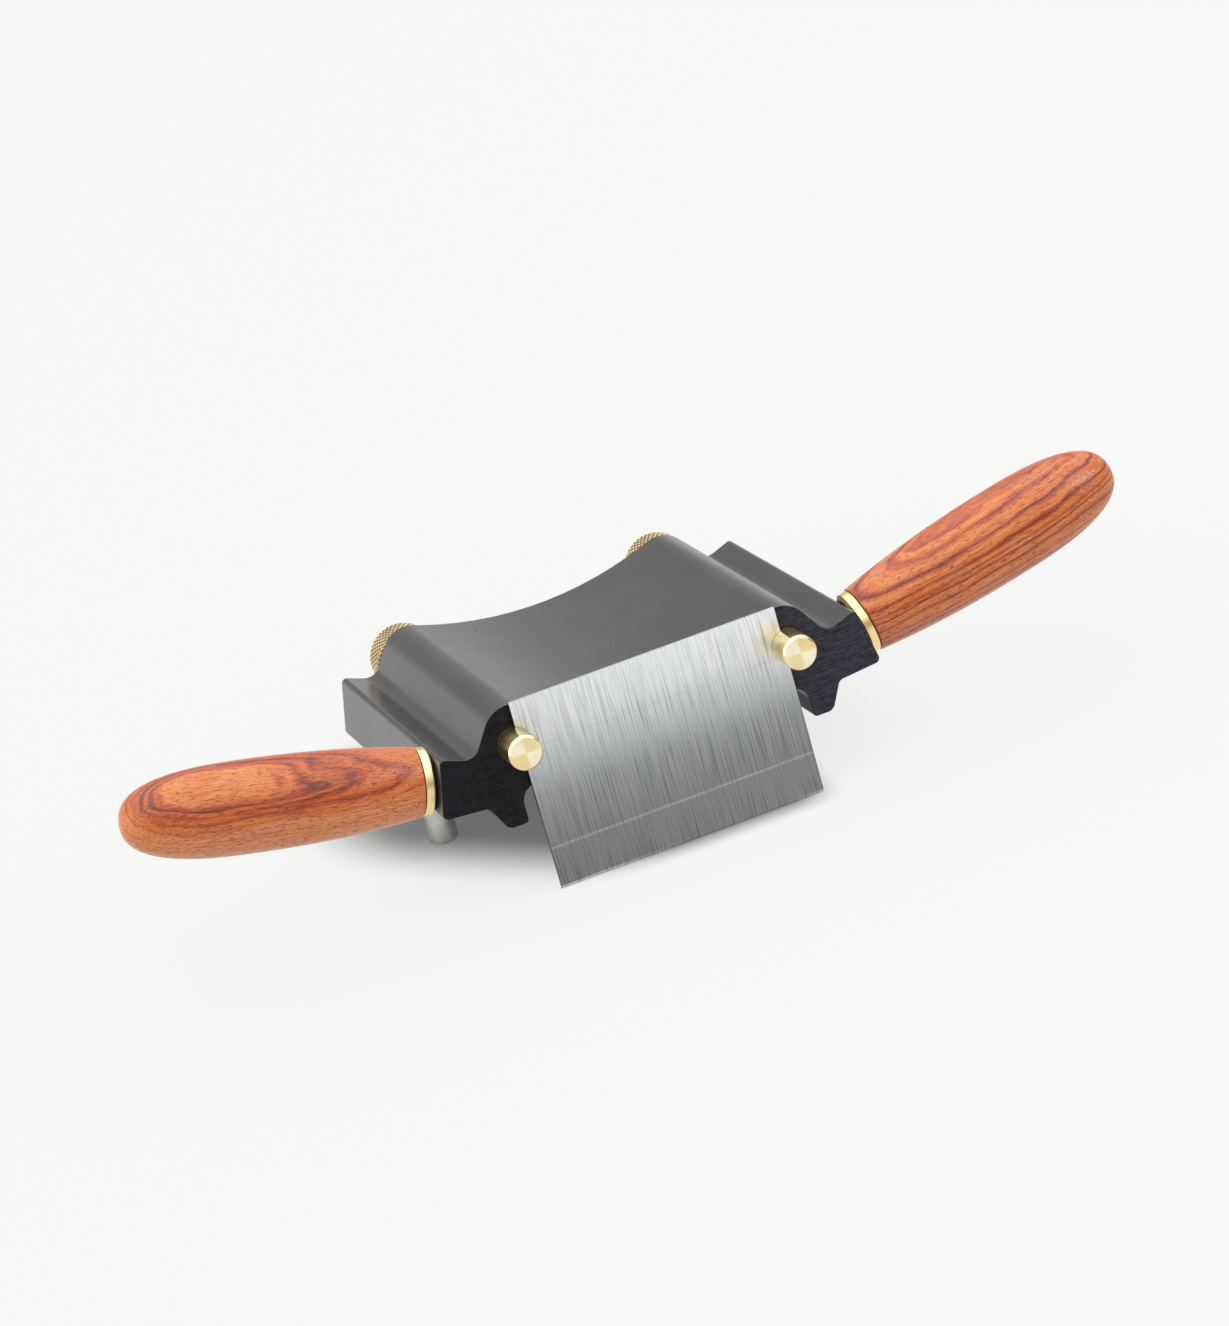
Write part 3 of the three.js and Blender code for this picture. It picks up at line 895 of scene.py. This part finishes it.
def clamp_stud(name, side, material):
    """The M6 stud, threaded from end to end."""
    place = clamp_place(side)
    made = screw(f"{name}_stud", place, STUD_RADIUS, STUD_PITCH, STUD_START, STUD_END, material)
    finished(made, place, f"{name}_clamp", f"{name}_clamp_stud")


def washer(name, side, material):
    place = clamp_place(side)
    made = lathe(f"{name}_washer", [
        (STUD_BORE, WASHER_START, 0.2),
        (WASHER_RADIUS, WASHER_START, 0.3),
        (WASHER_RADIUS, WASHER_END, 0.3),
        (STUD_BORE, WASHER_END, 0.2),
    ], place, [material])
    finished(made, place, "frame", f"{name}_thrust_washer")


def knurled_radius(angle, along):
    """Radius of the diamond knurl: small pyramids between two sets of slanting grooves."""
    teeth = round(math.tau * NUT_RADIUS / KNURL_PITCH)
    lead = along / KNURL_PITCH * KNURL_LEAN
    one = abs((angle / math.tau * teeth + lead) % 1 - 0.5) * 2
    other = abs((angle / math.tau * teeth - lead) % 1 - 0.5) * 2
    return NUT_RADIUS - KNURL_DEPTH * max(one, other) ** KNURL_SHARPNESS


def nut(name, side, material):
    """A knurled nut: a plain front, a dished back and a knurled band between them."""
    facets = KNURL_STEPS * round(math.tau * NUT_RADIUS / KNURL_PITCH)
    band_start = NUT_START + NUT_FRONT_CHAMFER
    band_end = NUT_END - NUT_CHAMFER
    steps = round((band_end - band_start) / KNURL_PITCH * KNURL_STEPS)
    dish = NUT_END - NUT_DISH_DEPTH
    outline = [(STUD_BORE, NUT_START + NUT_BORE_CHAMFER), (STUD_BORE + NUT_BORE_CHAMFER, NUT_START)]
    outline.append((NUT_RADIUS - KNURL_DEPTH - NUT_FRONT_CHAMFER, NUT_START))
    for i in range(steps + 1):
        outline.append((NUT_RADIUS, band_start + (band_end - band_start) * i / steps))
    outline += [(NUT_RADIUS - NUT_CHAMFER, NUT_END), (NUT_RADIUS - NUT_DISH[0], NUT_END)]
    outline += [(NUT_RADIUS - NUT_DISH[1], dish), (STUD_BORE + NUT_COUNTERSINK[0], dish)]
    outline.append((STUD_BORE, dish - NUT_COUNTERSINK[1]))
    points, faces = turned(outline, facets)
    place = clamp_place(side)
    made = piece(f"{name}_nut", pressed(points, NUT_RADIUS, knurled_radius), faces, place, [material])
    mark_grooves(made, place, band_start, band_end)
    finished(made, place, f"{name}_nut", f"{name}_knurled_nut")


def mark_grooves(thing, place, band_start, band_end):
    """Stores at every point of the knurled band how deep in a groove it lies, from 0 to 1."""
    own_frame = place.inverted()
    # the nut's brass darkens by this depth as painted shade
    groove = thing.data.attributes.new("groove", "FLOAT", "POINT")
    for i, vertex in enumerate(thing.data.vertices):
        x, y, along = own_frame @ vertex.co / MM
        if band_start <= along <= band_end:
            groove.data[i].value = min(1, (NUT_RADIUS - math.hypot(x, y)) / KNURL_DEPTH)


# ---------------------------------------------------------------- handles


def handle_radius(along):
    if along < HANDLE_FATTEST:
        share = (HANDLE_FATTEST - along) / (HANDLE_FATTEST - HANDLE_NECK)
        return HANDLE_RADIUS - (HANDLE_RADIUS - HANDLE_NECK_RADIUS) * share**HANDLE_SWELL
    share = (along - HANDLE_FATTEST) / (HANDLE_LENGTH - HANDLE_FATTEST)
    return HANDLE_RADIUS * (1 - share**HANDLE_END_ROUND) ** (1 / HANDLE_END_ROUND)


def handle(name, side, material):
    """The turned grip, with a tenon inside the ferrule and a socket for the threaded insert."""
    tenon_side = TENON_START + TENON_CHAMFER
    outline = [(0, SOCKET_END), (SOCKET_RADIUS, SOCKET_END)]
    outline += [(SOCKET_RADIUS, tenon_side), (SOCKET_RADIUS + TENON_CHAMFER, TENON_START)]
    outline += [(TENON_RADIUS - TENON_CHAMFER, TENON_START), (TENON_RADIUS, tenon_side)]
    outline.append((TENON_RADIUS, HANDLE_NECK))
    neck_end = HANDLE_NECK + HANDLE_NECK_EASE
    ease_steps, swell_steps, end_steps = 4, 56, 56
    for i in range(ease_steps + 1):
        angle = math.pi / 2 * i / ease_steps
        radius = handle_radius(neck_end) - HANDLE_NECK_EASE * (1 - math.sin(angle))
        outline.append((radius, HANDLE_NECK + HANDLE_NECK_EASE * (1 - math.cos(angle))))
    for i in range(1, swell_steps):
        along = neck_end + (HANDLE_FATTEST - neck_end) * i / swell_steps
        outline.append((handle_radius(along), along))
    for i in range(end_steps):
        along = HANDLE_FATTEST + (HANDLE_LENGTH - HANDLE_FATTEST) * math.sin(math.pi / 2 * i / end_steps)
        outline.append((handle_radius(along), along))
    outline.append((0, HANDLE_LENGTH))
    place = handle_place(side)
    made = piece(f"{name}_grip", *turned(outline, 128), place, [material])
    finished(made, place, "frame", f"{name}_handle")


def ferrule(name, side, material):
    """A brass ring on the tenon, sloped towards the wing."""
    place = handle_place(side)
    bore = TENON_RADIUS + TOUCH
    drop, slope = FERRULE_SHOULDER
    made = lathe(f"{name}_collar", [
        (bore, TOUCH, 0),
        (FERRULE_RADIUS - drop, TOUCH, 0.2),
        (FERRULE_RADIUS, TOUCH + slope, 0.3),
        (FERRULE_RADIUS, FERRULE_END, 0.35),
        (bore, FERRULE_END, 0),
    ], place, [material], 128)
    finished(made, place, "frame", f"{name}_ferrule")


def handle_fixing(name, side, steel, brass_finish):
    """The stud that runs from the wing into the handle, and the brass sleeve it screws into."""
    place = handle_place(side)
    stud = screw(f"{name}_handle_screw", place, STUD_RADIUS, STUD_PITCH, *HANDLE_STUD_SPAN, steel)
    finished(stud, place, "frame", f"{name}_handle_stud")
    insert = (INSERT_RADIUS, INSERT_PITCH, *INSERT_SPAN)
    sleeve = screw(f"{name}_sleeve", place, *insert, brass_finish, STUD_BORE)
    finished(sleeve, place, "frame", f"{name}_threaded_insert")


# ---------------------------------------------------------------- post


def post_top(x, y):
    """Height above the bench of the wing's underside over a point of the post, less the gap."""
    place = TOOL.inverted() @ post_place()
    foot = place @ (Vector((x, y, 0)) * MM) / MM
    rise = place.to_3x3() @ Vector((0, 0, 1))
    gap = WING_BOTTOM[1] - UNDERSIDE_SLOPE * (foot.x + WING_BOTTOM[0]) - TOUCH - foot.z
    return gap / (rise.z + UNDERSIDE_SLOPE * rise.x)


def post(material):
    """A turned post. Its top is mitred to the wing, and its foot is flat on the bench."""
    blank_top = 21  # before the mitre
    rim_foot = blank_top - POST_RIM
    ease = 0.1
    outline = [(0, 0), (POST_RADIUS - POST_CHAMFER, 0), (POST_RADIUS - ease, POST_CHAMFER - ease)]
    outline += [(POST_RADIUS, POST_CHAMFER + 2 * ease), (POST_RADIUS, rim_foot)]
    outline += [(POST_RADIUS - POST_RIM, blank_top), (POST_SOCKET, blank_top)]
    outline += [(POST_SOCKET, POST_STUD_START - TOUCH), (0, POST_STUD_START - TOUCH)]
    points, faces = turned(outline)
    for i, (x, y, z) in enumerate(points):
        if z >= rim_foot:
            points[i] = (x, y, z - blank_top + post_top(x, y))
    place = post_place()
    made = piece("left_post", points, faces, place, [material])
    even_normals(made)
    finished(made, place, "frame", "left_support_post")
    end = post_top(0, 0) + TOUCH + POST_STUD_GRIP
    thread = (POST_STUD_RADIUS, POST_STUD_PITCH, POST_STUD_START, end)
    stud = screw("left_post_screw", place, *thread, material)
    finished(stud, place, "frame", "left_post_stud")


# ---------------------------------------------------------------- assembly

studio()
body()
blade()
PIN_BRASS = brass("pin_brass", 0.2, 0.75, 2600)
NUT_BRASS = brass("nut_brass", 0.25, 0.0, 2200)
COLLAR_BRASS = brass("collar_brass", 0.3, 0.4, 3000)
STEEL = plated()
WOOD = {
    "left": bubinga("left_bubinga", (0.65, -0.76), 0.05, 3.1, LEFT_LAYERS),
    "right": bubinga("right_bubinga", (-0.95, -0.31), 0.03, 11.7, RIGHT_LAYERS),
}
for NAME, SIDE in SIDES.items():
    clamp_pin(NAME, SIDE, PIN_BRASS)
    clamp_stud(NAME, SIDE, STEEL)
    washer(NAME, SIDE, NUT_BRASS)
    nut(NAME, SIDE, NUT_BRASS)
    handle(NAME, SIDE, WOOD[NAME])
    ferrule(NAME, SIDE, COLLAR_BRASS)
    handle_fixing(NAME, SIDE, STEEL, NUT_BRASS)
post(STEEL)
